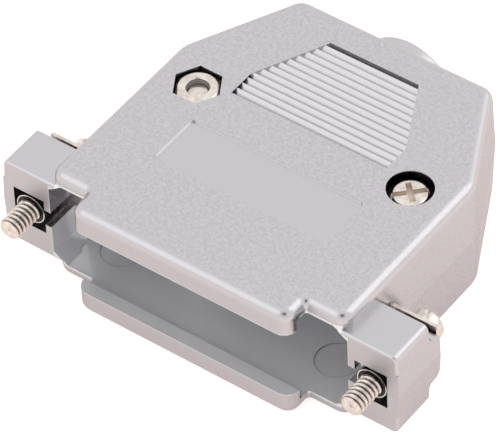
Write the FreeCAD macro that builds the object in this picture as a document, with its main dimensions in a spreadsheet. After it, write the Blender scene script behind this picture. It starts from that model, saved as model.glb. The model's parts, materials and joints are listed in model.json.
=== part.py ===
import FreeCAD, Part
import Sketcher
import math
import os

from FreeCAD import Placement, Rotation, Vector

# Two-part plated hood for a 25-way rectangular board-and-cable connector.
# Millimetres. X runs between the jackscrews, Y from the connector mouth to the
# cable outlet, Z is up. The parting plane is z = 0, the flange seat is y = 0.

os.makedirs("parts", exist_ok=True)
doc = FreeCAD.newDocument("hood")
sheet = doc.addObject("Spreadsheet::Sheet", "dims")

SIZES = [
    # shell outline
    ("jack_spacing", 47.04),
    ("half_width", 20.6),
    ("half_height", 8.15),
    ("draft_angle", 2.5),
    ("front_set", 0.05),
    ("front_trim", 0.6),
    ("taper_start", 25.2),
    ("back_reach", 39.2),
    ("back_half", 13.5),
    ("edge_round", 1.3),
    ("back_round", 2.0),
    ("shoulder_round", 4.0),
    ("lip_corner_round", 1.7),
    ("notch_round", 0.4),
    ("skin", 1.85),
    ("wall", 1.5),
    ("taper_wall", 0.9),
    # front lips over the connector flange
    ("lip_half", 14.95),
    ("lip_front", 3.3),
    ("lip_thickness", 1.7),
    ("lip_hook", 1.5),
    # connector mouth
    ("mouth_half", 20.5),
    ("mouth_depth", 4.3),
    ("bevel_across", 1.9),
    ("bevel_down", 1.3),
    # jackscrew ears
    ("ear_overhang", 3.73),
    ("ear_lean", 0.3),
    ("ear_height", 6.05),
    ("ear_depth", 6.0),
    ("ear_round", 0.8),
    ("ear_front_round", 0.35),
    ("boss_height", 3.35),
    ("boss_lean", 0.16),
    ("boss_depth", 1.95),
    ("boss_round", 0.95),
    ("boss_root", 0.8),
    ("window_half", 2.15),
    ("window_height", 2.55),
    ("window_depth", 4.6),
    ("ear_slot", 1.15),
    # jackscrew, its ring and its seat plate
    ("jack_radius", 1.42),
    ("run_clearance", 0.08),
    ("shank_radius", 1.62),
    ("rest_gap", 0.15),
    ("plate_inward", 2.8),
    ("plate_outward", 3.05),
    ("plate_high", 3.7),
    ("plate_thickness", 0.45),
    ("jack_head_radius", 2.05),
    ("jack_head_length", 2.75),
    ("jack_head_gap", 0.1),
    ("jack_head_round", 0.55),
    ("drive_slot_width", 0.7),
    ("drive_slot_depth", 0.9),
    ("jack_tip", 4.0),
    ("tip_bevel", 0.5),
    ("tip_centre", 0.25),
    ("ring_radius", 1.95),
    ("ring_thickness", 0.6),
    ("ring_front", 0.15),
    ("groove_radius", 1.15),
    # assembly screws and nuts
    ("fix_x", 14.65),
    ("fix_y", 20.4),
    ("column_radius", 3.9),
    ("fix_radius", 1.3),
    ("fix_clearance", 0.15),
    ("head_bore_radius", 2.75),
    ("head_sink", 0.6),
    ("fix_head_height", 1.5),
    ("fix_head_radius", 2.2),
    ("fix_head_round", 0.45),
    ("end_bevel", 0.2),
    ("recess_width", 0.7),
    ("recess_length", 3.0),
    ("recess_depth", 0.7),
    ("nut_across", 5.0),
    ("nut_clearance", 0.35),
    ("nut_thickness", 2.0),
    ("nut_sink", 0.35),
    ("nut_bevel", 0.2),
    ("nut_mouth", 0.16),
    ("screw_end_sink", 0.75),
    # label recess
    ("label_half", 11.85),
    ("label_front", 8.25),
    ("label_back", 15.65),
    ("label_depth", 0.25),
    ("label_round", 0.7),
    # ridged grip
    ("grip_front", 21.5),
    ("grip_knee", 25.2),
    ("grip_back", 34.4),
    ("grip_half", 10.7),
    ("grip_back_half", 6.1),
    ("tooth_pitch", 1.0225),
    ("tooth_run", 0.5),
    ("tooth_depth", 0.55),
    ("ridge_drop", 0.03),
    ("grip_end_depth", 0.66),
    # cable outlet
    ("outlet_radius", 6.25),
    ("outlet_bore", 4.6),
    ("outlet_reach", 2.3),
    ("outlet_round", 0.6),
    # moulding marks inside
    ("mark_x", 14.95),
    ("mark_y", 5.45),
    ("mark_radius", 2.55),
    ("mark_depth", 0.12),
    # cable clamp
    ("rib_y", 30.6),
    ("rib_thickness", 1.0),
    ("rib_inner", 5.0),
    ("rib_outer", 9.8),
    ("rib_drop", 3.0),
    ("clamp_y", 34.6),
    ("clamp_width", 4.6),
    ("clamp_half", 8.9),
    ("clamp_low", 1.7),
    ("clamp_thickness", 2.2),
    ("saddle_radius", 3.9),
    ("clamp_screw_x", 6.4),
    ("clamp_screw_radius", 1.1),
    ("clamp_head_radius", 2.0),
    ("clamp_head_height", 1.3),
    ("clamp_recess", 2.4),
    ("clamp_nut_across", 4.0),
]
TOOTH_COUNT = 12
OVERSHOOT = 4.0

for row, (alias, value) in enumerate(SIZES, start=1):
    sheet.set("A%d" % row, alias)
    sheet.set("B%d" % row, str(value))
    sheet.setAlias("B%d" % row, alias)
doc.recompute()


class Size:
    """A length that carries both its sheet expression and its present value."""

    def __init__(self, text, value):
        self.text = text
        self.value = value

    def __add__(self, other):
        other = as_size(other)
        return Size("(%s + %s)" % (self.text, other.text), self.value + other.value)

    def __sub__(self, other):
        other = as_size(other)
        return Size("(%s - %s)" % (self.text, other.text), self.value - other.value)

    def __neg__(self):
        return Size("(-1 * %s)" % self.text, -self.value)

    def __mul__(self, factor):
        return Size("(%s * %r)" % (self.text, factor), self.value * factor)


def as_size(item):
    if isinstance(item, Size):
        return item
    return Size(repr(float(item)), float(item))


def dim(alias):
    return Size("dims.%s" % alias, float(sheet.get(alias)))


ZERO = as_size(0)
over = as_size(OVERSHOOT)
jack_x = dim("jack_spacing") * 0.5
top_z = dim("half_height")
ceiling_z = top_z - dim("skin")
front_y = dim("front_set")
lip_y = -dim("lip_front")
lip_rear_y = lip_y + dim("lip_thickness")
hook_z = ceiling_z - dim("lip_hook")
ear_outer = jack_x + dim("ear_overhang")
boss_back_y = dim("ear_depth") + dim("boss_depth")
plate_front_y = boss_back_y + dim("rest_gap")
plate_back_y = plate_front_y + dim("plate_thickness")
jack_seat_y = plate_back_y + dim("jack_head_gap")
bore_radius = dim("shank_radius") + dim("run_clearance")
head_top_z = top_z - dim("head_sink")
head_seat_z = head_top_z - dim("fix_head_height")
nut_top_z = top_z - dim("nut_sink")
nut_seat_z = nut_top_z - dim("nut_thickness")


def bind(item, prop, length):
    """Drive one property of a document object from the sheet."""
    item.setExpression(prop, length.text)


def new_body(label):
    body = doc.addObject("PartDesign::Body", label)
    body.Label = label
    return body


def new_sketch(body, role, name, offset=None):
    """Open a sketch on one of the body's own origin planes."""
    sketch = body.newObject("Sketcher::SketchObject", name)
    plane = [item for item in body.Origin.OriginFeatures if item.Role == role][0]
    sketch.AttachmentSupport = [(plane, "")]
    sketch.MapMode = "FlatFace"
    if offset is not None:
        sketch.AttachmentOffset = Placement(Vector(0, 0, offset.value), Rotation())
        bind(sketch, ".AttachmentOffset.Base.z", offset)
    return sketch


def pin(sketch, geo, pos, across, along):
    """Fix one sketch point at driven coordinates."""
    for kind, axis, length in (("DistanceX", -2, across), ("DistanceY", -1, along)):
        if length.value == 0:
            sketch.addConstraint(Sketcher.Constraint("PointOnObject", geo, pos, axis))
        else:
            index = sketch.addConstraint(
                Sketcher.Constraint(kind, -1, 1, geo, pos, length.value)
            )
            sketch.setExpression("Constraints[%d]" % index, length.text)


def polygon(sketch, points):
    """Closed outline through driven points."""
    count = len(points)
    first = sketch.GeometryCount
    for i in range(count):
        start = points[i]
        end = points[(i + 1) % count]
        line = Part.LineSegment(
            Vector(start[0].value, start[1].value, 0), Vector(end[0].value, end[1].value, 0)
        )
        sketch.addGeometry(line, False)
    for i in range(count):
        follower = first + (i + 1) % count
        sketch.addConstraint(Sketcher.Constraint("Coincident", first + i, 2, follower, 1))
    for i, (across, along) in enumerate(points):
        pin(sketch, first + i, 1, across, along)


def box_outline(sketch, left, low, right, high):
    polygon(sketch, [(left, low), (right, low), (right, high), (left, high)])


def circle(sketch, across, along, radius):
    centre = Vector(across.value, along.value, 0)
    geo = sketch.addGeometry(Part.Circle(centre, Vector(0, 0, 1), radius.value), False)
    index = sketch.addConstraint(Sketcher.Constraint("Radius", geo, radius.value))
    sketch.setExpression("Constraints[%d]" % index, radius.text)
    pin(sketch, geo, 3, across, along)


def both_sides(draw, sketch, left, low, right, high):
    """The same rectangle at +X and mirrored at -X."""
    draw(sketch, left, low, right, high)
    draw(sketch, -right, low, -left, high)


def feature(body, kind, name, sketch, length, reverse=False, midplane=False, taper=None):
    item = body.newObject(kind, name)
    item.Profile = sketch
    item.Length = abs(length.value)
    bind(item, "Length", length)
    item.Reversed = reverse
    item.Midplane = midplane
    if taper is not None:
        item.TaperAngle = taper.value
        bind(item, "TaperAngle", taper)
    doc.recompute()
    sketch.Visibility = False
    return item


def pad(body, name, sketch, length, **options):
    return feature(body, "PartDesign::Pad", name, sketch, length, **options)


def pocket(body, name, sketch, length, **options):
    before = body.Shape.Volume
    item = feature(body, "PartDesign::Pocket", name, sketch, length, **options)
    if not item.Shape.Volume < before:
        raise ValueError("pocket %s removed nothing" % name)
    return item


def spin(body, name, sketch, axis, cut=False):
    kind = "PartDesign::Groove" if cut else "PartDesign::Revolution"
    item = body.newObject(kind, name)
    item.Profile = sketch
    item.ReferenceAxis = (sketch, [axis])
    item.Angle = 360
    doc.recompute()
    sketch.Visibility = False
    return item


def dress(body, kind, name, base, size_name, size, wanted):
    """Fillet or chamfer the edges picked by the wanted test."""
    names = []
    for i, edge in enumerate(base.Shape.Edges, start=1):
        if wanted(edge):
            names.append("Edge%d" % i)
    item = body.newObject(kind, name)
    item.Base = (base, names)
    setattr(item, size_name, size.value)
    bind(item, size_name, size)
    doc.recompute()
    return item


def fillet(body, name, base, size, wanted):
    return dress(body, "PartDesign::Fillet", name, base, "Radius", size, wanted)


def chamfer(body, name, base, size, wanted):
    return dress(body, "PartDesign::Chamfer", name, base, "Size", size, wanted)


NEAR = 0.02
LOOSE = 1.0


def upright_at(across, along):
    """Edges that climb the full skin and start near a plan corner."""

    def wanted(edge):
        ends = sorted((v.Point for v in edge.Vertexes), key=lambda point: point.z)
        if len(ends) < 2:
            return False
        climb = ends[1].z - ends[0].z
        foot = ends[0]
        near_x = abs(abs(foot.x) - across.value) < LOOSE
        near_y = abs(foot.y - along.value) < LOOSE
        return climb > ceiling_z.value and near_x and near_y

    return wanted


def at_height(level):
    def wanted(edge):
        box = edge.BoundBox
        return abs(box.ZMin - level.value) < NEAR and abs(box.ZMax - level.value) < NEAR

    return wanted


def shell_outline(body):
    """Drafted block with the front lips, all outer corners rounded."""
    plan = new_sketch(body, "XY_Plane", "plan")
    half = dim("half_width")
    lip = dim("lip_half")
    right = [
        (half, front_y - dim("front_trim")),
        (half, dim("taper_start")),
        (dim("back_half"), dim("back_reach")),
    ]
    left = [(-across, along) for across, along in reversed(right)]
    polygon(plan, right + left)
    pad(body, "drafted_block", plan, top_z, taper=-dim("draft_angle"))
    trim = new_sketch(body, "XY_Plane", "front_trim_plan")
    box_outline(trim, -half - over, front_y - dim("front_trim") - over, half + over, front_y)
    pocket(body, "upright_front", trim, top_z + over, reverse=True)
    lips = new_sketch(body, "XY_Plane", "lip_plan")
    box_outline(lips, -lip, lip_y, lip, front_y + dim("wall"))
    block = pad(body, "lip", lips, top_z)
    corners = [
        ("shoulders", dim("shoulder_round"), half, dim("taper_start")),
        ("back_corners", dim("back_round"), dim("back_half"), dim("back_reach")),
        ("front_corners", dim("lip_corner_round"), half, front_y),
        ("lip_corners", dim("lip_corner_round"), lip, lip_y),
        ("notch_corners", dim("notch_round"), lip, front_y),
    ]
    tip = block
    for name, size, across, along in corners:
        tip = fillet(body, name, tip, size, upright_at(across, along))
    return fillet(body, "top_round", tip, dim("edge_round"), at_height(top_z))


def shell_ears(body):
    """Two ears with flat front faces and the raised seats behind them."""
    inner = dim("mouth_half") - dim("wall")
    lean = ear_outer - dim("ear_lean")
    profile = new_sketch(body, "XZ_Plane", "ear_profile")
    corners = [(inner, ZERO), (ear_outer, ZERO), (lean, dim("ear_height")), (inner, dim("ear_height"))]
    polygon(profile, corners)
    polygon(profile, [(-across, up) for across, up in reversed(corners)])
    ears = pad(body, "ears", profile, dim("ear_depth"), reverse=True)

    def outer_edge(edge):
        box = edge.BoundBox
        high = abs(box.ZMin - dim("ear_height").value) < NEAR
        runs_back = box.YLength > dim("ear_depth").value - NEAR
        outside = abs(box.Center.x) > jack_x.value
        return high and runs_back and outside

    edged = fillet(body, "ear_edges", ears, dim("ear_round"), outer_edge)

    def front_outline(edge):
        box = edge.BoundBox
        flat = abs(box.YMin) < NEAR and abs(box.YMax) < NEAR
        outside = abs(box.Center.x) > inner.value and box.ZMax > NEAR
        return flat and outside and abs(abs(box.Center.x) - inner.value) > NEAR

    fillet(body, "ear_front_edges", edged, dim("ear_front_round"), front_outline)
    seat = new_sketch(body, "XZ_Plane", "seat_profile")
    high = dim("boss_height")
    side = [(inner, ZERO), (ear_outer, ZERO), (ear_outer - dim("boss_lean"), high), (inner, high)]
    polygon(seat, side)
    polygon(seat, [(-across, up) for across, up in reversed(side)])
    seats = pad(body, "screw_seats", seat, boss_back_y, reverse=True)

    def runs_across(along):
        def test(edge):
            box = edge.BoundBox
            level = abs(box.ZMin - high.value) < NEAR and abs(box.ZMax - high.value) < NEAR
            return level and abs(box.YMin - along) < NEAR and abs(box.YMax - along) < NEAR

        return test

    rounded = fillet(
        body, "seat_edges", seats, dim("boss_round"), runs_across(boss_back_y.value)
    )
    return fillet(
        body, "seat_roots", rounded, dim("boss_root"), runs_across(dim("ear_depth").value)
    )


def shell_hollow(body):
    """Cavity, connector mouth and the slot behind the lips."""
    cavity = new_sketch(body, "XY_Plane", "cavity_plan")
    inner_half = dim("half_width") - dim("wall")
    inner_back = dim("back_reach") - dim("wall")
    back_half = dim("back_half") - dim("taper_wall")
    start = dim("mouth_depth") - dim("wall")
    right = [(inner_half, start), (inner_half, dim("taper_start")), (back_half, inner_back)]
    polygon(cavity, right + [(-across, along) for across, along in reversed(right)])
    pocket(body, "cavity", cavity, ceiling_z, reverse=True)

    mouth = new_sketch(body, "XZ_Plane", "mouth_profile", -lip_rear_y)
    bevel_x = dim("mouth_half") - dim("bevel_across")
    bevel_z = ceiling_z - dim("bevel_down")
    right = [(dim("mouth_half"), ZERO), (dim("mouth_half"), bevel_z), (bevel_x, ceiling_z)]
    polygon(mouth, right + [(-across, up) for across, up in reversed(right)])
    pocket(body, "mouth", mouth, dim("mouth_depth") - lip_rear_y)

    relief = new_sketch(body, "XZ_Plane", "lip_relief", -(lip_y - over))
    box_outline(relief, -dim("half_width"), ZERO, dim("half_width"), hook_z)
    pocket(body, "lip_underside", relief, lip_rear_y - lip_y + over)


def shell_jack_ways(body):
    """Ring windows, inner wall slots and shank bores."""
    near = jack_x - dim("window_half")
    far = jack_x + dim("window_half")
    window = new_sketch(body, "XZ_Plane", "window_profile", over)
    both_sides(box_outline, window, near, ZERO, far, dim("window_height"))
    pocket(body, "ring_windows", window, dim("window_depth") + over)

    slot = new_sketch(body, "XZ_Plane", "inner_slot", over)
    inner = dim("mouth_half") - dim("wall")
    both_sides(box_outline, slot, inner, ZERO, jack_x, dim("ear_slot"))
    pocket(body, "inner_slots", slot, dim("window_depth") + over)

    bore = new_sketch(body, "XZ_Plane", "shank_bore", over)
    circle(bore, jack_x, ZERO, bore_radius)
    circle(bore, -jack_x, ZERO, bore_radius)
    pocket(body, "shank_bores", bore, boss_back_y + over + over)


def shell_fixings(body):
    """Columns, counterbore on one side, nut pocket on the other."""
    columns = new_sketch(body, "XY_Plane", "column_plan")
    circle(columns, dim("fix_x"), dim("fix_y"), dim("column_radius"))
    circle(columns, -dim("fix_x"), dim("fix_y"), dim("column_radius"))
    pad(body, "columns", columns, ceiling_z + dim("wall") * 0.5)

    ribs = new_sketch(body, "XY_Plane", "column_rib_plan")
    low = dim("fix_y") - dim("wall")
    high = dim("fix_y") + dim("wall")
    rib_end = dim("half_width") - dim("wall") * 0.5
    both_sides(box_outline, ribs, dim("fix_x"), low, rib_end, high)
    pad(body, "column_ribs", ribs, ceiling_z + dim("wall") * 0.5)

    holes = new_sketch(body, "XY_Plane", "fixing_holes")
    clear = dim("fix_radius") + dim("fix_clearance")
    circle(holes, dim("fix_x"), dim("fix_y"), clear)
    circle(holes, -dim("fix_x"), dim("fix_y"), clear)
    pocket(body, "fixing_bores", holes, top_z + over, reverse=True)

    seat = new_sketch(body, "XY_Plane", "head_seat", head_seat_z)
    circle(seat, dim("fix_x"), dim("fix_y"), dim("head_bore_radius"))
    pocket(body, "head_counterbore", seat, over, reverse=True)

    nest = new_sketch(body, "XY_Plane", "nut_nest", nut_seat_z)
    hexagon(nest, -dim("fix_x"), dim("fix_y"), (dim("nut_across") + dim("nut_clearance")) * 0.5)
    pocket(body, "nut_pocket", nest, over, reverse=True)


def hexagon(sketch, across, along, inradius):
    """Regular hexagon with two corners on the local X direction."""
    corner = inradius * (1 / math.cos(math.pi / 6))
    points = []
    for i in range(6):
        angle = i * math.pi / 3
        shift_x = corner * round(math.cos(angle), 6)
        shift_y = corner * round(math.sin(angle), 6)
        points.append((across + shift_x, along + shift_y))
    polygon(sketch, points)


def shell_surface(body):
    """Label recess and the ridged thumb grip."""
    label = new_sketch(body, "XY_Plane", "label_plan", top_z - dim("label_depth"))
    box_outline(
        label, -dim("label_half"), dim("label_front"), dim("label_half"), dim("label_back")
    )
    recess = pocket(body, "label_recess", label, over, reverse=True)

    def label_corner(edge):
        box = edge.BoundBox
        upright = box.ZLength > NEAR and box.XLength < NEAR and box.YLength < NEAR
        at_side = abs(abs(box.Center.x) - dim("label_half").value) < NEAR
        return upright and at_side and box.ZMin > ceiling_z.value

    fillet(body, "label_corners", recess, dim("label_round"), label_corner)

    teeth = new_sketch(body, "YZ_Plane", "tooth_profile")
    ridge_z = top_z - dim("ridge_drop")
    points = [(dim("grip_front"), top_z + over)]
    for i in range(TOOTH_COUNT):
        ridge_y = dim("grip_front") + dim("tooth_pitch") * i
        points.append((ridge_y, ridge_z))
        points.append((ridge_y + dim("tooth_run"), ridge_z - dim("tooth_depth")))
    points.append((dim("grip_front") + dim("tooth_pitch") * TOOTH_COUNT, ridge_z))
    points.append((dim("grip_back"), ridge_z - dim("grip_end_depth")))
    points.append((dim("grip_back"), top_z + over))
    polygon(teeth, points)
    pocket(body, "ridges", teeth, dim("grip_half") * 2, midplane=True)

    floor = top_z - dim("grip_end_depth") - dim("wall") * 0.2
    corners = new_sketch(body, "XY_Plane", "grip_corners", floor)
    right = [
        (dim("grip_half"), dim("grip_knee")),
        (dim("grip_half"), dim("grip_back")),
        (dim("grip_back_half"), dim("grip_back")),
    ]
    polygon(corners, right)
    polygon(corners, [(-across, along) for across, along in reversed(right)])
    pad(body, "grip_shoulders", corners, top_z - floor)

    mark = new_sketch(body, "XY_Plane", "mark_plan", ceiling_z - dim("mark_depth"))
    circle(mark, dim("mark_x"), dim("mark_y"), dim("mark_radius"))
    circle(mark, -dim("mark_x"), dim("mark_y"), dim("mark_radius"))
    pocket(body, "moulding_marks", mark, dim("mark_depth") * 2, reverse=True)


def shell_outlet(body):
    """Half collar round the cable way and the ribs in front of the clamp."""
    collar = new_sketch(body, "XZ_Plane", "collar_profile", -(dim("back_reach") - dim("wall")))
    half_disc(collar, dim("outlet_radius"))
    tube = pad(body, "collar", collar, dim("outlet_reach") + dim("wall"), reverse=True)
    rim_y = (dim("back_reach") + dim("outlet_reach")).value

    def rim(edge):
        box = edge.BoundBox
        at_end = abs(box.YMin - rim_y) < NEAR and abs(box.YMax - rim_y) < NEAR
        return at_end and box.ZLength > dim("outlet_bore").value

    fillet(body, "collar_round", tube, dim("outlet_round"), rim)
    bore_start = -(dim("back_reach") + dim("outlet_reach") + over)
    bore = new_sketch(body, "XZ_Plane", "outlet_bore_profile", bore_start)
    circle(bore, ZERO, ZERO, dim("outlet_bore"))
    pocket(body, "outlet_bore", bore, dim("outlet_reach") + dim("wall") + over + over, reverse=True)

    ribs = new_sketch(body, "XY_Plane", "clamp_rib_plan", dim("rib_drop"))
    both_sides(
        box_outline, ribs, dim("rib_inner"), dim("rib_y"), dim("rib_outer"),
        dim("rib_y") + dim("rib_thickness"),
    )
    pad(body, "clamp_ribs", ribs, ceiling_z - dim("rib_drop") + dim("wall") * 0.5)


def half_disc(sketch, radius):
    """Closed half circle above the local X axis."""
    arc = sketch.addGeometry(
        Part.ArcOfCircle(Part.Circle(Vector(0, 0, 0), Vector(0, 0, 1), radius.value), 0, math.pi),
        False,
    )
    chord = sketch.addGeometry(
        Part.LineSegment(Vector(-radius.value, 0, 0), Vector(radius.value, 0, 0)), False
    )
    sketch.addConstraint(Sketcher.Constraint("Coincident", arc, 3, -1, 1))
    sketch.addConstraint(Sketcher.Constraint("Coincident", arc, 2, chord, 1))
    sketch.addConstraint(Sketcher.Constraint("Coincident", arc, 1, chord, 2))
    sketch.addConstraint(Sketcher.Constraint("Horizontal", chord))
    index = sketch.addConstraint(Sketcher.Constraint("Radius", arc, radius.value))
    sketch.setExpression("Constraints[%d]" % index, radius.text)


def make_shell(label, turned):
    body = new_body(label)
    shell_outline(body)
    shell_ears(body)
    shell_hollow(body)
    shell_jack_ways(body)
    shell_fixings(body)
    shell_surface(body)
    shell_outlet(body)
    if turned:
        body.Placement = Placement(Vector(0, 0, 0), Rotation(Vector(0, 1, 0), 180))
    return body


def make_jackscrew(label, side):
    """Turned screw along Y: threaded tip, ring groove, thicker shank and slotted head."""
    body = new_body(label)
    profile = new_sketch(body, "XY_Plane", "turned_profile")
    tip_y = -dim("jack_tip")
    groove_back = dim("ring_front") + dim("ring_thickness")
    head_y = jack_seat_y + dim("jack_head_length")
    radius = dim("jack_radius")
    points = [
        (ZERO, tip_y + dim("tip_centre")),
        (dim("tip_centre"), tip_y),
        (radius - dim("tip_bevel"), tip_y),
        (radius, tip_y + dim("tip_bevel")),
        (radius, ZERO),
        (dim("groove_radius"), ZERO),
        (dim("groove_radius"), groove_back),
        (dim("shank_radius"), groove_back),
        (dim("shank_radius"), jack_seat_y),
        (dim("jack_head_radius"), jack_seat_y),
        (dim("jack_head_radius"), head_y),
        (ZERO, head_y),
    ]
    polygon(profile, points)
    turned = spin(body, "turned", profile, "V_Axis")

    def head_rim(edge):
        box = edge.BoundBox
        wide = box.XLength > dim("jack_head_radius").value
        return wide and abs(box.YMin - head_y.value) < NEAR and abs(box.YMax - head_y.value) < NEAR

    fillet(body, "head_round", turned, dim("jack_head_round"), head_rim)
    slot = new_sketch(body, "XZ_Plane", "drive_slot", -(head_y + over))
    half = dim("drive_slot_width") * 0.5
    long = dim("jack_head_radius") + dim("drive_slot_width")
    box_outline(slot, -half, -long, half, long)
    pocket(body, "slot", slot, dim("drive_slot_depth") + over, reverse=True)
    body.Placement = Placement(Vector(side * jack_x.value, 0, 0), Rotation())
    bind(body, ".Placement.Base.x", jack_x * side)
    return body


def make_ring(label, side):
    """Split-free retaining ring in the groove of the jackscrew."""
    body = new_body(label)
    profile = new_sketch(body, "XY_Plane", "ring_profile")
    back = dim("ring_front") + dim("ring_thickness")
    box_outline(profile, dim("groove_radius"), dim("ring_front"), dim("ring_radius"), back)
    spin(body, "ring", profile, "V_Axis")
    body.Placement = Placement(Vector(side * jack_x.value, 0, 0), Rotation())
    bind(body, ".Placement.Base.x", jack_x * side)
    return body


def make_plate(label, side):
    """Square seat plate behind the ear."""
    body = new_body(label)
    profile = new_sketch(body, "XZ_Plane", "plate_profile", -plate_front_y)
    high = dim("plate_high")
    box_outline(profile, dim("plate_inward") * -side, -high, dim("plate_outward") * side, high)
    circle(profile, ZERO, ZERO, bore_radius)
    pad(body, "plate", profile, dim("plate_thickness"), reverse=True)
    body.Placement = Placement(Vector(side * jack_x.value, 0, 0), Rotation())
    bind(body, ".Placement.Base.x", jack_x * side)
    return body


def make_machine_screw(label, radius, head_radius, head_height, seat, end, place, arms):
    """Pan-head screw along Z with a slot and a cross arm, head up, in its own frame."""
    body = new_body(label)
    profile = new_sketch(body, "XZ_Plane", "turned_profile")
    top = seat + head_height
    points = [
        (ZERO, end),
        (radius - dim("end_bevel"), end),
        (radius, end + dim("end_bevel")),
        (radius, seat),
        (head_radius, seat),
        (head_radius, top),
        (ZERO, top),
    ]
    polygon(profile, points)
    turned = spin(body, "turned", profile, "V_Axis")

    def head_rim(edge):
        box = edge.BoundBox
        wide = box.XLength > head_radius.value
        return wide and abs(box.ZMin - top.value) < NEAR and abs(box.ZMax - top.value) < NEAR

    fillet(body, "head_round", turned, dim("fix_head_round"), head_rim)
    slot_reach, arm_reach = arms
    half = dim("recess_width") * 0.5
    depth = dim("recess_depth")
    for name, across, along in (("slot", slot_reach, half), ("arm", half, arm_reach)):
        cross = new_sketch(body, "XY_Plane", name + "_plan", top - depth)
        box_outline(cross, -across, -along, across, along)
        pocket(body, name, cross, over, reverse=True)
    body.Placement = place
    return body


def make_nut(label, across, radius, low, high, bevel, place):
    """Hexagon nut along Z with a bevelled outer face, in its own frame."""
    body = new_body(label)
    plan = new_sketch(body, "XY_Plane", "hexagon_plan", low)
    hexagon(plan, ZERO, ZERO, across * 0.5)
    circle(plan, ZERO, ZERO, radius)
    pad(body, "hexagon", plan, high - low)
    cone = new_sketch(body, "XZ_Plane", "bevel_profile")
    inner = across * 0.5 - bevel
    outer = across
    slope = across * 0.5 * math.tan(math.pi / 6)
    polygon(cone, [(inner, high), (outer, high - slope), (outer, high + bevel), (inner, high + bevel)])
    bevelled = spin(body, "bevel", cone, "V_Axis", cut=True)

    def bore_mouth(edge):
        box = edge.BoundBox
        level = abs(box.ZMin - high.value) < NEAR and abs(box.ZMax - high.value) < NEAR
        return level and abs(box.XLength - radius.value * 2) < NEAR

    chamfer(body, "bore_mouth", bevelled, dim("nut_mouth"), bore_mouth)
    body.Placement = place
    return body


def make_clamp_bar(label, place):
    """Clamp bar with a saddle for the cable, above its own parting plane."""
    body = new_body(label)
    low = dim("clamp_low")
    high = low + dim("clamp_thickness")
    half = dim("clamp_half")
    centre = dim("clamp_y")
    profile = new_sketch(body, "XZ_Plane", "bar_profile", -(centre - dim("clamp_width") * 0.5))
    box_outline(profile, -half, low, half, high)
    pad(body, "bar", profile, dim("clamp_width"), reverse=True)
    saddle = new_sketch(body, "XZ_Plane", "saddle_profile", -(centre - over))
    circle(saddle, ZERO, ZERO, dim("saddle_radius") - dim("clamp_thickness") * 0.4)
    pocket(body, "saddle", saddle, over + over)
    holes = new_sketch(body, "XY_Plane", "clamp_holes")
    clear = dim("clamp_screw_radius") + dim("fix_clearance")
    circle(holes, dim("clamp_screw_x"), centre, clear)
    circle(holes, -dim("clamp_screw_x"), centre, clear)
    pocket(body, "screw_holes", holes, high + over, reverse=True)
    body.Placement = place
    return body


UPRIGHT = Rotation()
TURNED = Rotation(Vector(0, 1, 0), 180)
DRIVEN = Rotation(Vector(0, 0, 1), 45)


def driven_place(body, across, along, rotation):
    """Stand a body at driven plan coordinates."""
    body.Placement = Placement(Vector(across.value, along.value, 0), rotation)
    bind(body, ".Placement.Base.x", across)
    bind(body, ".Placement.Base.y", along)


def make_fixings():
    """One pan-head screw from above on the right, its twin from below on the left."""
    made = []
    end = dim("screw_end_sink") - nut_top_z
    arms = (dim("head_bore_radius"), dim("recess_length") * 0.5)
    for name, side, rotation in (("right", 1, UPRIGHT), ("left", -1, TURNED)):
        screw = make_machine_screw(
            "assembly_screw_" + name, dim("fix_radius"), dim("fix_head_radius"),
            dim("fix_head_height"), head_seat_z, end, Placement(), arms,
        )
        driven_place(screw, dim("fix_x") * side, dim("fix_y"), rotation * DRIVEN)
        nut = make_nut(
            "assembly_nut_" + name, dim("nut_across"), dim("fix_radius"), nut_seat_z,
            nut_top_z, dim("nut_bevel"), Placement(),
        )
        opposite = TURNED if side > 0 else UPRIGHT
        driven_place(nut, dim("fix_x") * side, dim("fix_y"), opposite)
        made += [screw, nut]
    return made


def make_clamp():
    """Two bars over the cable way with their screws and nuts."""
    made = [
        make_clamp_bar("clamp_bar_upper", Placement()),
        make_clamp_bar("clamp_bar_lower", Placement(Vector(0, 0, 0), TURNED)),
    ]
    seat = dim("clamp_low") + dim("clamp_thickness")
    arms = (dim("clamp_recess") * 0.5, dim("clamp_recess") * 0.5)
    for name, side in (("right", 1), ("left", -1)):
        screw = make_machine_screw(
            "clamp_screw_" + name, dim("clamp_screw_radius"), dim("clamp_head_radius"),
            dim("clamp_head_height"), seat, -ceiling_z, Placement(), arms,
        )
        driven_place(screw, dim("clamp_screw_x") * side, dim("clamp_y"), UPRIGHT)
        nut = make_nut(
            "clamp_nut_" + name, dim("clamp_nut_across"), dim("clamp_screw_radius"), seat,
            ceiling_z, dim("nut_bevel"), Placement(),
        )
        driven_place(nut, dim("clamp_screw_x") * side, dim("clamp_y"), TURNED)
        made += [screw, nut]
    return made


parts = [make_shell("upper_shell", False), make_shell("lower_shell", True)]
for side_name, side_sign in (("right", 1), ("left", -1)):
    parts.append(make_jackscrew("jackscrew_" + side_name, side_sign))
    parts.append(make_ring("retaining_ring_" + side_name, side_sign))
    parts.append(make_plate("seat_plate_" + side_name, side_sign))
parts += make_fixings()
parts += make_clamp()
doc.recompute()

for item in doc.Objects:
    if "Invalid" in item.State or "Error" in item.State:
        raise ValueError("%s is %s" % (item.Name, item.State))
for part in parts:
    if part.Shape.isNull() or not part.Shape.isValid():
        raise ValueError("%s has no valid shape" % part.Label)
    if len(part.Shape.Solids) != 1:
        raise ValueError("%s has %d solids" % (part.Label, len(part.Shape.Solids)))
for part in parts:
    part.Shape.exportStep("parts/%s.step" % part.Label)
    box = part.Shape.BoundBox
    print(
        "%-22s x %.2f..%.2f y %.2f..%.2f z %.2f..%.2f volume %.0f"
        % (part.Label, box.XMin, box.XMax, box.YMin, box.YMax, box.ZMin, box.ZMax, part.Shape.Volume)
    )
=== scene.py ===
import json
import math

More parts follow.
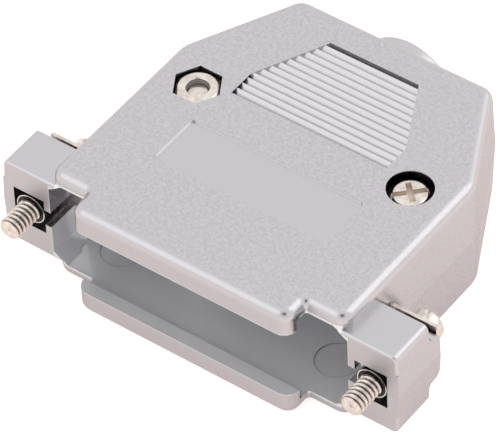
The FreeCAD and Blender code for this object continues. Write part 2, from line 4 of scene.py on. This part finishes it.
import bmesh
import bpy
from mathutils import Matrix, Vector


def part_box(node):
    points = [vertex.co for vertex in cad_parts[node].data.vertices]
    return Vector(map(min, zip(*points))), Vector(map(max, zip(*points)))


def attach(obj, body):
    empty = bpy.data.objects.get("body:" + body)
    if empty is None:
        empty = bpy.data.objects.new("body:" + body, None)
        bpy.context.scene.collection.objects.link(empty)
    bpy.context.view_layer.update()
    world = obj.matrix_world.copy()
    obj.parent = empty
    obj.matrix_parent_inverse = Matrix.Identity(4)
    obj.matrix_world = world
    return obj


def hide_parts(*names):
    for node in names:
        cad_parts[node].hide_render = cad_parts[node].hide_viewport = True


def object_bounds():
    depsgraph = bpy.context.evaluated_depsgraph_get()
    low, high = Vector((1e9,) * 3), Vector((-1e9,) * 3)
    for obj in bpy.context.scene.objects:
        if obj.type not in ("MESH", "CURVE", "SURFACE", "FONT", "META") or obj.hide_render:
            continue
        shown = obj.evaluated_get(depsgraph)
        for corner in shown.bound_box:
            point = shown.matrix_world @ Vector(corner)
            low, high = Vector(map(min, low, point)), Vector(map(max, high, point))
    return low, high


MM = 0.001

# Camera, found by matching the photograph's edges to the part.
CAMERA_AZIMUTH = 38.06
CAMERA_ELEVATION = 45.80
CAMERA_ROLL = -2.72
CAMERA_DISTANCE = 536.7 * MM
CAMERA_TARGET = Vector((-2.16, 12.89, 0.0)) * MM
CAMERA_LENS = 343.65
SENSOR_WIDTH = 36.0
CLIP_START = 0.05
CLIP_END = 20.0

# Lamps, floor and flag.
AIM = (0, 0.018, 0)
FLOOR_HALF = 3.0
FLOOR_GAP = 0.02 * MM
FLOOR_COLOUR = (0.80, 0.755, 0.735, 1)
CAMERA_GLOW = 0.62
MIRROR_GLOW = 0.34
MIRROR_TINT = (1.0, 0.84, 0.78, 1)
FLAG_DISTANCE = 0.75
FLAG_SIZE = 0.36
FLAG_LEVEL = 0.02

# Cut thread of the jackscrews. The valley's half width and the tip are shares of pitch and radius.
THREAD_PITCH = 0.635 * MM
THREAD_DEPTH = 0.33 * MM
THREAD_VALLEY = 0.40
THREAD_END = -0.02 * MM
AROUND = 48
ROWS_PER_TURN = 14
SMOOTH_ANGLE = 38
TIP_LENGTH = 0.55 * MM
TIP_SHARE = 0.62
TIP_CENTRE = 0.25 * MM

# Places on the shells that the plating looks for.
FIX_X = 14.65 * MM
FIX_Y = 20.4 * MM
POCKET_RADIUS = 3.30 * MM
POCKET_FLOOR = 5.5 * MM
GRIP_FRONT = 21.5 * MM
GRIP_KNEE = 25.2 * MM
GRIP_BACK = 34.4 * MM
LABEL_BACK = 15.65 * MM
MARK_X = 14.95 * MM
MARK_Y = 5.45 * MM
MARK_RADIUS = 2.55 * MM
LIP_BACK = -1.6 * MM
MOUTH_DEPTH = 4.30 * MM
MOUTH_LEVEL = 5.6 * MM
MOUTH_EXTRA = 0.95 * MM
CAVITY_HALF = 19.6 * MM
CAVITY_BACK = 38.0 * MM
CEILING = 6.55 * MM
HOOK_FRONT = -1.12 * MM
HOOK_LEVEL = 4.86 * MM
TAPER_START = 25.2 * MM
TAPER_HALF = 19.75 * MM
TAPER = (20.6 - 13.5) / (39.2 - 25.2)

# Places on the screws, nuts and seat plates that the steel looks for.
NUT_BORE = 1.3 * MM
BORE_DEPTH = 1.2 * MM
BORE_PITCH = 0.30 * MM
SLOT_RADIUS = 1.85 * MM
NECK_RADIUS = 1.3 * MM
NECK_LENGTH = 0.3 * MM
THREAD_FRONT = -3.9 * MM
PLATE_LOW = 7.9 * MM
PLATE_HIGH = 8.13 * MM
PLATE_INNER = -1.4 * MM
PLATE_OUTER = 2.0 * MM

# Colours.
PLATING_DARK = (0.575, 0.56, 0.58, 1)
PLATING_LIGHT = (0.605, 0.59, 0.61, 1)
GRAIN_DARK = (0.53, 0.52, 0.54, 1)
GRAIN_LIGHT = (0.625, 0.61, 0.63, 1)
PLATING_EDGE_TINT = (0.78, 0.76, 0.76, 1)
SEAM_COLOUR = (0.30, 0.29, 0.28, 1)
LINING_COLOUR = (0.85, 0.86, 0.88, 1)
# Painted shade along the edges of the hollow's round marks and the lip's back.
CAVITY_SHADE_LINE_COLOUR = (0.06, 0.06, 0.065, 1)
LIP_COLOUR = (0.82, 0.81, 0.83, 1)
# Painted dark reflection, painted highlight and painted shade on the grip and label recess walls.
PAINTED_DARK_REFLECTION_COLOUR = (0.03, 0.03, 0.035, 1)
PAINTED_HIGHLIGHT_COLOUR = (0.97, 0.97, 0.98, 1)
PAINTED_SHADE_BACK_COLOUR = (0.46, 0.46, 0.49, 1)
# Painted shade on the walls of the counterbores and nut pockets.
PAINTED_SHADE_POCKET_COLOUR = (0.045, 0.042, 0.045, 1)
# Painted shade in the thread valleys, screw necks and seat plate fronts.
PAINTED_SHADE_VALLEY_COLOUR = (0.095, 0.068, 0.056, 1)
SLOT_COLOUR = (0.70, 0.61, 0.53, 1)
BORE_COLOUR = (0.92, 0.87, 0.82, 1)
# Painted shade on the nut bores' thread lines and round the screw ends.
PAINTED_SHADE_BORE_LINE_COLOUR = (0.09, 0.065, 0.055, 1)
NICKEL_DARK = (0.66, 0.59, 0.54, 1)
NICKEL_LIGHT = (0.84, 0.78, 0.73, 1)
ZINC_DARK = (0.50, 0.51, 0.53, 1)
ZINC_LIGHT = (0.60, 0.61, 0.63, 1)
LACQUER_DARK = (0.010, 0.010, 0.011, 1)
LACQUER_LIGHT = (0.016, 0.016, 0.0176, 1)
# Painted highlight: bright metal band round the black ring's front rim.
RIM_HIGHLIGHT_COLOUR = (0.80, 0.78, 0.76, 1)
WHITE = (1, 1, 1, 1)

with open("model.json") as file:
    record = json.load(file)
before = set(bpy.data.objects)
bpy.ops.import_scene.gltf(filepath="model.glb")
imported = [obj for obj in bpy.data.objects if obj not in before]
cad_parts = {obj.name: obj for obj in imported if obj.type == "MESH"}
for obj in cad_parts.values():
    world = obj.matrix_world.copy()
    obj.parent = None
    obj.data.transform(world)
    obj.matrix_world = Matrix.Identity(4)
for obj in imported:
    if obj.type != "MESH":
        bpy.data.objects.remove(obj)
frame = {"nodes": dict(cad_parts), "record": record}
cad_low, cad_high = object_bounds()
nodes = frame["nodes"]
record = frame["record"]


def mount(name):
    """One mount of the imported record."""
    return [m for m in record["mounts"] if m["name"] == name][0]


JACK_HALF = mount("jackscrews")["dims"]["spacing_x_mm"] * MM / 2
JACK_RADIUS = mount("jackscrews")["dims"]["stud_r_mm"] * MM
TOP_Z = cad_high.z
RING_RADIUS = (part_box("retaining_ring_left")[1].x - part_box("retaining_ring_left")[0].x) / 2
RING_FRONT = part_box("retaining_ring_left")[0].y
NUT_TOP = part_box("assembly_nut_left")[1].z
HEAD_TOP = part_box("assembly_screw_right")[1].z


class Graph:
    """Short calls for building one shader tree."""

    def __init__(self, name):
        self.material = bpy.data.materials.new(name)
        self.material.use_nodes = True
        self.tree = self.material.node_tree
        self.tree.nodes.clear()
        self.output = self.tree.nodes.new("ShaderNodeOutputMaterial")

    def node(self, kind, **settings):
        made = self.tree.nodes.new(kind)
        for key, value in settings.items():
            setattr(made, key, value)
        return made

    def link(self, source, target):
        self.tree.links.new(source, target)

    def feed(self, value, socket):
        """Link a socket, or set a plain value."""
        if isinstance(value, bpy.types.NodeSocket):
            self.link(value, socket)
        else:
            socket.default_value = value

    def math(self, operation, first, second=0.0):
        made = self.node("ShaderNodeMath", operation=operation)
        self.feed(first, made.inputs[0])
        self.feed(second, made.inputs[1])
        return made.outputs[0]

    def times(self, first, *others):
        """Product of all the values."""
        for other in others:
            first = self.math("MULTIPLY", first, other)
        return first

    def most(self, first, *others):
        """Largest of all the values."""
        for other in others:
            first = self.math("MAXIMUM", first, other)
        return first

    def invert(self, value):
        return self.math("SUBTRACT", 1.0, value)

    def magnitude(self, value):
        return self.math("ABSOLUTE", value)

    def distance(self, first, second):
        """Length of the diagonal over two legs."""
        squares = self.math("ADD", self.math("POWER", first, 2.0), self.math("POWER", second, 2.0))
        return self.math("SQRT", squares)

    def ramp(self, value, low, high, start=0.0, end=1.0):
        """Smooth change from start to end while value goes from low to high."""
        made = self.node("ShaderNodeMapRange", interpolation_type="SMOOTHSTEP")
        self.feed(value, made.inputs["Value"])
        made.inputs["From Min"].default_value = low
        made.inputs["From Max"].default_value = high
        made.inputs["To Min"].default_value = start
        made.inputs["To Max"].default_value = end
        return made.outputs[0]

    def above(self, value, edge, fade):
        """0 up to the edge, rising to 1 over the fade."""
        return self.ramp(value, edge, edge + fade)

    def below(self, value, edge, fade):
        """1 up to the edge, falling to 0 over the fade."""
        return self.ramp(value, edge, edge + fade, 1.0, 0.0)

    def inside(self, value, low, high, soft):
        """1 between low and high, fading over soft to either side of both."""
        rise = self.ramp(value, low - soft, low + soft)
        fall = self.ramp(value, high - soft, high + soft, 1.0, 0.0)
        return self.times(rise, fall)

    def near(self, value, centre, half, soft):
        """1 within half of the centre, fading over soft."""
        return self.inside(value, centre - half, centre + half, soft)

    def noise(self, vector, scale, detail=2.0, roughness=0.5):
        made = self.node("ShaderNodeTexNoise")
        self.link(vector, made.inputs["Vector"])
        made.inputs["Scale"].default_value = scale
        made.inputs["Detail"].default_value = detail
        made.inputs["Roughness"].default_value = roughness
        return made.outputs["Fac"]

    def mix_colour(self, factor, first, second):
        made = self.node("ShaderNodeMix", data_type="RGBA")
        self.feed(factor, made.inputs["Factor"])
        self.feed(first, made.inputs[6])
        self.feed(second, made.inputs[7])
        return made.outputs[2]

    def bump(self, height, strength, distance, normal=None):
        made = self.node("ShaderNodeBump")
        made.inputs["Strength"].default_value = strength
        made.inputs["Distance"].default_value = distance
        self.link(height, made.inputs["Height"])
        if normal is not None:
            self.link(normal, made.inputs["Normal"])
        return made.outputs[0]

    def position(self):
        """Object coordinates, whole and split into X, Y and Z."""
        coordinates = self.node("ShaderNodeTexCoord")
        split = self.node("ShaderNodeSeparateXYZ")
        self.link(coordinates.outputs["Object"], split.inputs[0])
        return coordinates.outputs["Object"], split.outputs

    def facing(self):
        """The face normal, split into X, Y and Z."""
        geometry = self.node("ShaderNodeNewGeometry")
        split = self.node("ShaderNodeSeparateXYZ")
        self.link(geometry.outputs["Normal"], split.inputs[0])
        return split.outputs

    def surface(self, shader):
        self.link(shader.outputs[0], self.output.inputs["Surface"])

    def metal(self, colour, roughness, metallic, normal):
        shader = self.node("ShaderNodeBsdfPrincipled")
        self.link(colour, shader.inputs["Base Color"])
        self.link(roughness, shader.inputs["Roughness"])
        self.link(metallic, shader.inputs["Metallic"])
        self.link(normal, shader.inputs["Normal"])
        self.surface(shader)
        return shader


def fix_radius(graph, axis):
    """Distance from the axis of the nearer assembly screw."""
    along_x = graph.math("SUBTRACT", graph.magnitude(axis["X"]), FIX_X)
    along_y = graph.math("SUBTRACT", axis["Y"], FIX_Y)
    return graph.distance(along_x, along_y)


def head_side(graph, axis):
    """1 at the ends with a screw head, 0 at the ends with a nut."""
    return graph.math("GREATER_THAN", graph.times(axis["X"], axis["Z"]), 0.0)


def cavity_mask(graph, axis, across, level):
    """1 on the faces of the hollow between the shells, 0 on the outside."""
    shallow = graph.below(axis["Y"], MOUTH_DEPTH, 0.06 * MM)
    mouth = graph.times(shallow, graph.below(level, MOUTH_LEVEL, 0.10 * MM))
    reach = graph.math("ADD", CAVITY_HALF, graph.times(mouth, MOUTH_EXTRA))
    straight = graph.below(graph.math("SUBTRACT", across, reach), 0.0, 0.04 * MM)
    slant = graph.times(graph.math("SUBTRACT", axis["Y"], TAPER_START), TAPER)
    taper = graph.below(graph.math("ADD", across, slant), TAPER_HALF, 0.15 * MM)
    under = graph.below(level, CEILING, 0.10 * MM)
    hook = graph.below(level, HOOK_LEVEL, 0.06 * MM)
    ahead = graph.most(graph.above(axis["Y"], HOOK_FRONT, 0.04 * MM), hook)
    behind = graph.below(axis["Y"], CAVITY_BACK, 0.2 * MM)
    return graph.times(straight, graph.most(taper, mouth), under, ahead, behind)


def painted_shade_lines(graph, axis, across):
    """1 on the round marks of the hollow's floor and along the back of the lip: painted shade along
    these edges.
    """
    along_x = graph.math("SUBTRACT", across, MARK_X)
    along_y = graph.math("SUBTRACT", axis["Y"], MARK_Y)
    ring = graph.near(graph.distance(along_x, along_y), MARK_RADIUS, 0.05 * MM, 0.03 * MM)
    edge = graph.near(axis["Y"], LIP_BACK, 0.05 * MM, 0.03 * MM)
    return graph.most(ring, edge)


def lip_mask(graph, axis, facing):
    """1 on the inner faces of the lips, ahead of their back edge."""
    ahead = graph.below(axis["Y"], LIP_BACK - 0.05 * MM, 0.05 * MM)
    inward = graph.times(facing["Z"], graph.math("SIGN", axis["Z"]))
    return graph.times(ahead, graph.below(inward, -0.95, 0.05))


def painted_shade_pocket_mask(graph, axis, level):
    """1 on the walls of the screw counterbores and nut pockets, where shade is painted."""
    close = graph.below(fix_radius(graph, axis), POCKET_RADIUS, 0.06 * MM)
    return graph.times(close, graph.inside(level, POCKET_FLOOR, TOP_Z - 0.10 * MM, 0.04 * MM))


def painted_wall_light(graph, axis, facing, level):
    """Masks for painted light on the recess walls: a painted dark reflection on the grip's short side
    wall, a painted highlight on the bright walls of both recesses and painted shade on the grip's back.
    """
    upper = graph.math("SIGN", axis["Z"])
    inward = graph.above(graph.times(facing["X"], upper), 0.45, 0.15)
    sunk = graph.inside(level, TOP_Z - 0.75 * MM, TOP_Z - 0.04 * MM, 0.02 * MM)
    left = graph.times(inward, graph.below(graph.times(axis["X"], upper), -3.0 * MM, 0.5 * MM), sunk)
    wall = graph.times(left, graph.inside(axis["Y"], GRIP_FRONT, GRIP_BACK, 0.05 * MM))
    short = graph.below(axis["Y"], GRIP_KNEE - 0.05 * MM, 0.10 * MM)
    back = graph.times(graph.below(facing["Y"], -0.95, 0.05), sunk)
    painted_shade_grip_back = graph.times(back, graph.near(axis["Y"], GRIP_BACK, 0.1 * MM, 0.03 * MM))
    label_back = graph.times(back, graph.near(axis["Y"], LABEL_BACK, 0.1 * MM, 0.03 * MM))
    label_left = graph.times(left, graph.below(axis["Y"], LABEL_BACK, GRIP_FRONT - LABEL_BACK))
    bright = graph.most(graph.times(wall, graph.invert(short)), label_back, label_left)
    return graph.times(wall, short), bright, painted_shade_grip_back


def shell_material():
    """Satin plating with a pebbled grain on the broad outer faces only."""
    graph = Graph("shell_plating")
    point, axis = graph.position()
    facing = graph.facing()
    level = graph.magnitude(axis["Z"])
    across = graph.magnitude(axis["X"])

    broad = graph.ramp(graph.magnitude(facing["Z"]), 0.93, 0.985)
    pebbled = graph.times(broad, graph.ramp(level, TOP_Z - 0.22 * MM, TOP_Z - 0.10 * MM))
    fine = graph.times(graph.noise(point, 5200.0), 0.35)
    grain = graph.math("ADD", graph.noise(point, 2600.0), fine)
    soft = graph.bump(graph.noise(point, 260.0), 0.25, 0.05 * MM)
    normal = graph.bump(graph.times(grain, pebbled), 0.55, 0.10 * MM, soft)

    mottle = graph.noise(point, 1400.0, 3.0, 0.6)
    colour = graph.mix_colour(mottle, PLATING_DARK, PLATING_LIGHT)
    peaks = graph.mix_colour(graph.ramp(grain, 0.50, 0.85), GRAIN_DARK, GRAIN_LIGHT)
    colour = graph.mix_colour(graph.times(pebbled, 0.85), colour, peaks)
    seam = graph.times(graph.ramp(level, 0.02 * MM, 0.06 * MM, 0.35, 0.0), graph.ramp(across, 0.0, MM))
    colour = graph.mix_colour(seam, colour, SEAM_COLOUR)

    hollow = cavity_mask(graph, axis, across, level)
    side_wall = graph.ramp(graph.magnitude(facing["X"]), 0.90, 0.95)
    polished = graph.times(graph.invert(head_side(graph, axis)), side_wall)
    lining = graph.times(hollow, graph.invert(polished))
    # Painted shade lines on the round marks and along the back of the lip.
    lines = graph.times(painted_shade_lines(graph, axis, across), hollow, 0.48)
    # Painted dark reflection, painted highlight and painted shade on the recess walls.
    short, bright, painted_shade_grip_back = painted_wall_light(graph, axis, facing, level)
    for mask, paint in (
        (lining, LINING_COLOUR),
        (lines, CAVITY_SHADE_LINE_COLOUR),
        (lip_mask(graph, axis, facing), LIP_COLOUR),
        (short, PAINTED_DARK_REFLECTION_COLOUR),
        (bright, PAINTED_HIGHLIGHT_COLOUR),
        (painted_shade_grip_back, PAINTED_SHADE_BACK_COLOUR),
        # Painted shade on the counterbore and nut pocket walls.
        (painted_shade_pocket_mask(graph, axis, level), PAINTED_SHADE_POCKET_COLOUR),
    ):
        colour = graph.mix_colour(mask, colour, paint)

    roughness = graph.math("ADD", graph.times(pebbled, 0.10), graph.ramp(mottle, 0.3, 0.7, 0.0, 0.04))
    roughness = graph.math("ADD", roughness, 0.26)
    roughness = graph.math("ADD", roughness, graph.ramp(facing["Y"], -0.98, -0.85, 0.22, 0.0))
    roughness = graph.math("SUBTRACT", roughness, graph.times(hollow, 0.10))
    metallic = graph.invert(graph.times(lining, 0.5))
    shader = graph.metal(colour, roughness, metallic, normal)
    shader.inputs["Specular Tint"].default_value = PLATING_EDGE_TINT
    return graph.material


def painted_shade_valley_mask(graph, axis):
    """Painted shade: 1 in the thread valleys and necks of the jackscrews, 0.6 on part of the seat
    plates' fronts.
    """
    across = graph.math("SUBTRACT", graph.magnitude(axis["X"]), JACK_HALF)
    radius = graph.distance(across, axis["Z"])
    valley = graph.times(
        graph.ramp(radius, JACK_RADIUS - THREAD_DEPTH, JACK_RADIUS - 0.20 * THREAD_DEPTH, 1.0, 0.0),
        graph.below(radius, JACK_RADIUS + 0.1 * MM, 0.1 * MM),
        graph.above(axis["Y"], THREAD_FRONT, 0.2 * MM),
        graph.below(axis["Y"], -0.1 * MM, 0.1 * MM),
    )
    neck = graph.times(
        graph.inside(axis["Y"], 0.0, NECK_LENGTH, 0.02 * MM),
        graph.below(radius, NECK_RADIUS, 0.06 * MM),
    )
    plate = graph.times(
        graph.inside(axis["Y"], PLATE_LOW, PLATE_HIGH, 0.01 * MM),
        graph.ramp(across, PLATE_OUTER, PLATE_OUTER + 0.3 * MM, 0.6, 0.0),
        graph.above(across, PLATE_INNER, 0.3 * MM),
    )
    return graph.most(valley, neck, plate)


def bore_wall(graph, axis):
    """1 on the bore of a nut, near its open end."""
    return graph.times(
        graph.inside(fix_radius(graph, axis), NUT_BORE - 0.05 * MM, NUT_BORE + 0.10 * MM, 0.02 * MM),
        graph.above(graph.magnitude(axis["Z"]), NUT_TOP - BORE_DEPTH, 0.10 * MM),
        graph.invert(head_side(graph, axis)),
    )


def painted_shade_bore_lines(graph, axis):
    """Painted shade: 1 on the thread lines of a nut's bore and round the screw end in it."""
    level = graph.magnitude(axis["Z"])
    turn = graph.math("FRACT", graph.math("DIVIDE", level, BORE_PITCH))
    bore = graph.times(bore_wall(graph, axis), graph.inside(turn, 0.36, 0.72, 0.12))
    rim = graph.inside(fix_radius(graph, axis), NUT_BORE - 0.12 * MM, NUT_BORE, 0.03 * MM)
    end = graph.times(rim, graph.below(level, NUT_TOP - 0.20 * MM, 0.10 * MM))
    return graph.times(graph.most(bore, end), graph.invert(head_side(graph, axis)))


def slot_mask(graph, axis):
    """1 inside the slot of an assembly screw's head."""
    return graph.times(
        graph.below(fix_radius(graph, axis), SLOT_RADIUS, 0.10 * MM),
        head_side(graph, axis),
        graph.inside(graph.magnitude(axis["Z"]), HEAD_TOP - 0.80 * MM, HEAD_TOP - 0.10 * MM, 0.04 * MM),
    )


def steel_material(name, colour_dark, colour_light, roughness):
    """Clouded bright metal, duller in screw slots and nut bores."""
    graph = Graph(name)
    point, axis = graph.position()
    cloud = graph.ramp(graph.noise(point, 1500.0, 3.0, 0.6), 0.32, 0.68)
    slot = slot_mask(graph, axis)
    bore = bore_wall(graph, axis)
    colour = graph.mix_colour(cloud, colour_dark, colour_light)
    for mask, paint in (
        # Painted shade in the thread valleys, necks and seat plate fronts.
        (painted_shade_valley_mask(graph, axis), PAINTED_SHADE_VALLEY_COLOUR),
        (slot, SLOT_COLOUR),
        (bore, BORE_COLOUR),
        # Painted shade on the nut bores' thread lines and round the screw ends.
        (painted_shade_bore_lines(graph, axis), PAINTED_SHADE_BORE_LINE_COLOUR),
    ):
        colour = graph.mix_colour(mask, colour, paint)
    dull = graph.most(slot, bore)
    rough = graph.ramp(cloud, 0.3, 0.7, roughness - 0.04, roughness + 0.06)
    rough = graph.most(rough, graph.times(dull, 0.55))
    metallic = graph.invert(graph.times(dull, 0.6))
    graph.metal(colour, rough, metallic, graph.bump(graph.noise(point, 5200.0), 0.3, 0.02 * MM))
    return graph.material


def lacquer_material(name, roughness):
    """Gloss black coating, with a bright metal band round the front rim as a painted highlight of its
    edge.
    """
    graph = Graph(name)
    point, axis = graph.position()
    across = graph.math("SUBTRACT", graph.magnitude(axis["X"]), JACK_HALF)
    edge = graph.above(graph.distance(across, axis["Z"]), RING_RADIUS - 0.14 * MM, 0.04 * MM)
    # Painted highlight: a bright metal band round the front rim.
    rim = graph.times(edge, graph.below(axis["Y"], RING_FRONT + 0.05 * MM, 0.04 * MM))
    tone = graph.mix_colour(graph.noise(point, 1800.0), LACQUER_DARK, LACQUER_LIGHT)
    shader = graph.node("ShaderNodeBsdfPrincipled")
    shader.inputs["Specular IOR Level"].default_value = 0.2
    shader.inputs["Roughness"].default_value = roughness
    graph.link(graph.mix_colour(rim, tone, RIM_HIGHLIGHT_COLOUR), shader.inputs["Base Color"])
    graph.link(rim, shader.inputs["Metallic"])
    graph.surface(shader)
    return graph.material


def thread_radius(along, share):
    """Radius of the thread at a distance from its tip, at a share of a turn."""
    phase = (along / THREAD_PITCH - share) % 1.0
    valley = max(0.0, 1.0 - abs(phase - 0.5) / THREAD_VALLEY)
    radius = JACK_RADIUS - THREAD_DEPTH * valley
    tip = along / TIP_LENGTH
    if tip < 1.0:
        rounding = math.sqrt(max(0.0, 1 - (1 - tip) ** 2))
        radius = min(radius, JACK_RADIUS * (TIP_SHARE + (1 - TIP_SHARE) * rounding))
    return radius


def vertex_ring(mesh, centre_x, y, radii):
    """One ring of vertices round a jackscrew's axis."""
    ring = []
    for j, radius in enumerate(radii):
        angle = 2 * math.pi * j / AROUND
        ring.append(mesh.verts.new((centre_x + radius * math.sin(angle), y, radius * math.cos(angle))))
    return ring


def threaded_screw(name, node, body, side, finish):
    """The jackscrew with a cut thread in place of the plain screw end."""
    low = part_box(node)[0]
    centre_x = side * JACK_HALF
    length = THREAD_END - low.y
    mesh = bmesh.new()
    mesh.from_mesh(nodes[node].data)
    everything = mesh.verts[:] + mesh.edges[:] + mesh.faces[:]
    bmesh.ops.bisect_plane(
        mesh, geom=everything, plane_co=(0, THREAD_END, 0), plane_no=(0, -1, 0), clear_outer=True
    )
    rows = int(length / THREAD_PITCH * ROWS_PER_TURN)
    grid = []
    for i in range(rows + 1):
        y = low.y + length * i / rows
        radii = [thread_radius(y - low.y, j / AROUND) for j in range(AROUND)]
        grid.append(vertex_ring(mesh, centre_x, y, radii))
    for i in range(rows):
        for j in range(AROUND):
            k = (j + 1) % AROUND
            mesh.faces.new((grid[i][j], grid[i][k], grid[i + 1][k], grid[i + 1][j]))
    rim = vertex_ring(mesh, centre_x, low.y, [TIP_CENTRE] * AROUND)
    point = mesh.verts.new((centre_x, low.y + TIP_CENTRE, 0))
    for j in range(AROUND):
        k = (j + 1) % AROUND
        mesh.faces.new((grid[0][k], grid[0][j], rim[j], rim[k]))
        mesh.faces.new((rim[k], rim[j], point))
    mesh.faces.new(grid[-1])
    bmesh.ops.recalc_face_normals(mesh, faces=mesh.faces[:])
    data = bpy.data.meshes.new(name)
    mesh.to_mesh(data)
    mesh.free()
    data.materials.append(finish)
    for polygon in data.polygons:
        polygon.use_smooth = True
    data.set_sharp_from_angle(angle=math.radians(SMOOTH_ANGLE))
    piece = add_object(name, data)
    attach(piece, body)
    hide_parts(node)


def add_object(name, data):
    """A new object in the scene."""
    made = bpy.data.objects.new(name, data)
    bpy.context.scene.collection.objects.link(made)
    return made


def assign(node, material):
    data = nodes[node].data
    data.materials.clear()
    data.materials.append(material)


def make_camera():
    """The photograph's camera. Returns the direction from the part to it."""
    data = bpy.data.cameras.new("camera")
    data.lens = CAMERA_LENS
    data.sensor_width = SENSOR_WIDTH
    data.clip_start = CLIP_START
    data.clip_end = CLIP_END
    camera = add_object("camera", data)
    azimuth = math.radians(CAMERA_AZIMUTH)
    elevation = math.radians(CAMERA_ELEVATION)
    roll = math.radians(CAMERA_ROLL)
    back = Vector((
        math.sin(azimuth) * math.cos(elevation),
        -math.cos(azimuth) * math.cos(elevation),
        math.sin(elevation),
    ))
    right = Vector((math.cos(azimuth), math.sin(azimuth), 0.0))
    up = back.cross(right)
    turned_right = right * math.cos(roll) + up * math.sin(roll)
    turned_up = up * math.cos(roll) - right * math.sin(roll)
    placing = Matrix((turned_right, turned_up, back)).transposed().to_4x4()
    placing.translation = CAMERA_TARGET + back * CAMERA_DISTANCE
    camera.matrix_world = placing
    bpy.context.scene.camera = camera
    return back


def make_world():
    """A plain white world."""
    world = bpy.data.worlds.new("world")
    world.use_nodes = True
    tree = world.node_tree
    tree.nodes.clear()
    output = tree.nodes.new("ShaderNodeOutputWorld")
    background = tree.nodes.new("ShaderNodeBackground")
    background.inputs["Color"].default_value = WHITE
    background.inputs["Strength"].default_value = 1.0
    tree.links.new(background.outputs[0], output.inputs["Surface"])
    bpy.context.scene.world = world


def panel(name, half_x, half_y, z):
    """A flat four-sided object, level at z."""
    data = bpy.data.meshes.new(name)
    corners = [(-half_x, -half_y, z), (half_x, -half_y, z), (half_x, half_y, z), (-half_x, half_y, z)]
    data.from_pydata(corners, [], [(0, 1, 2, 3)])
    return add_object(name, data)


def make_floor():
    """A floor that takes the shadow and shows white, to the camera and a little in mirrors."""
    floor = panel("floor", FLOOR_HALF, FLOOR_HALF, cad_low.z - FLOOR_GAP)
    graph = Graph("floor")
    diffuse = graph.node("ShaderNodeBsdfDiffuse")
    diffuse.inputs["Color"].default_value = FLOOR_COLOUR
    glow = graph.node("ShaderNodeEmission")
    path = graph.node("ShaderNodeLightPath")
    mirrored = graph.most(path.outputs["Is Glossy Ray"], path.outputs["Is Transmission Ray"])
    seen = graph.times(path.outputs["Is Camera Ray"], CAMERA_GLOW)
    strength = graph.math("ADD", seen, graph.times(mirrored, MIRROR_GLOW))
    graph.link(graph.mix_colour(path.outputs["Is Camera Ray"], MIRROR_TINT, WHITE), glow.inputs["Color"])
    graph.link(strength, glow.inputs["Strength"])
    add = graph.node("ShaderNodeAddShader")
    graph.link(diffuse.outputs[0], add.inputs[0])
    graph.link(glow.outputs[0], add.inputs[1])
    graph.surface(add)
    floor.data.materials.append(graph.material)


def aim(thing, place):
    """Put a lamp or card in its place, facing the part."""
    thing.location = place
    thing.rotation_mode = "QUATERNION"
    thing.rotation_quaternion = (Vector(AIM) - Vector(place)).to_track_quat("-Z", "Y")


def area_lamp(name, place, width, height, power):
    data = bpy.data.lights.new(name, "AREA")
    data.shape = "RECTANGLE"
    data.size = width
    data.size_y = height
    data.energy = power
    aim(add_object(name, data), place)


def dark_card(name, place, size, level):
    """A dark panel that only reflections see, as a studio flag."""
    card = panel(name, size / 2, size / 2, 0)
    aim(card, place)
    graph = Graph(name)
    diffuse = graph.node("ShaderNodeBsdfDiffuse")
    diffuse.inputs["Color"].default_value = (level, level, level, 1)
    graph.surface(diffuse)
    card.data.materials.append(graph.material)
    card.visible_camera = False
    card.visible_diffuse = False
    card.visible_shadow = False


nickel = steel_material("nickel_steel", NICKEL_DARK, NICKEL_LIGHT, 0.20)
finishes = {
    "shell_plating": shell_material(),
    "nickel_steel": nickel,
    "zinc_steel": steel_material("zinc_steel", ZINC_DARK, ZINC_LIGHT, 0.34),
    "ring_black": lacquer_material("ring_black", 0.18),
}
for entry in record["subparts"]:
    assign(entry["node"], finishes[entry["material_slot"]])
threaded_screw("jackscrew_left_threaded", "jackscrew_left", "screw_left", -1, nickel)
threaded_screw("jackscrew_right_threaded", "jackscrew_right", "screw_right", 1, nickel)

toward_camera = make_camera()
make_world()
make_floor()
area_lamp("front_box", (-0.36, -0.52, 0.52), 0.60, 0.60, 0.40)
area_lamp("right_box", (0.458, 0.49, 0.568), 0.46, 0.75, 0.66)
area_lamp("back_box", (0.18, 0.80, 0.34), 0.50, 0.35, 0.165)
dark_card("camera_flag", toward_camera * FLAG_DISTANCE, FLAG_SIZE, FLAG_LEVEL)

scene = bpy.context.scene
scene.view_settings.view_transform = "Standard"
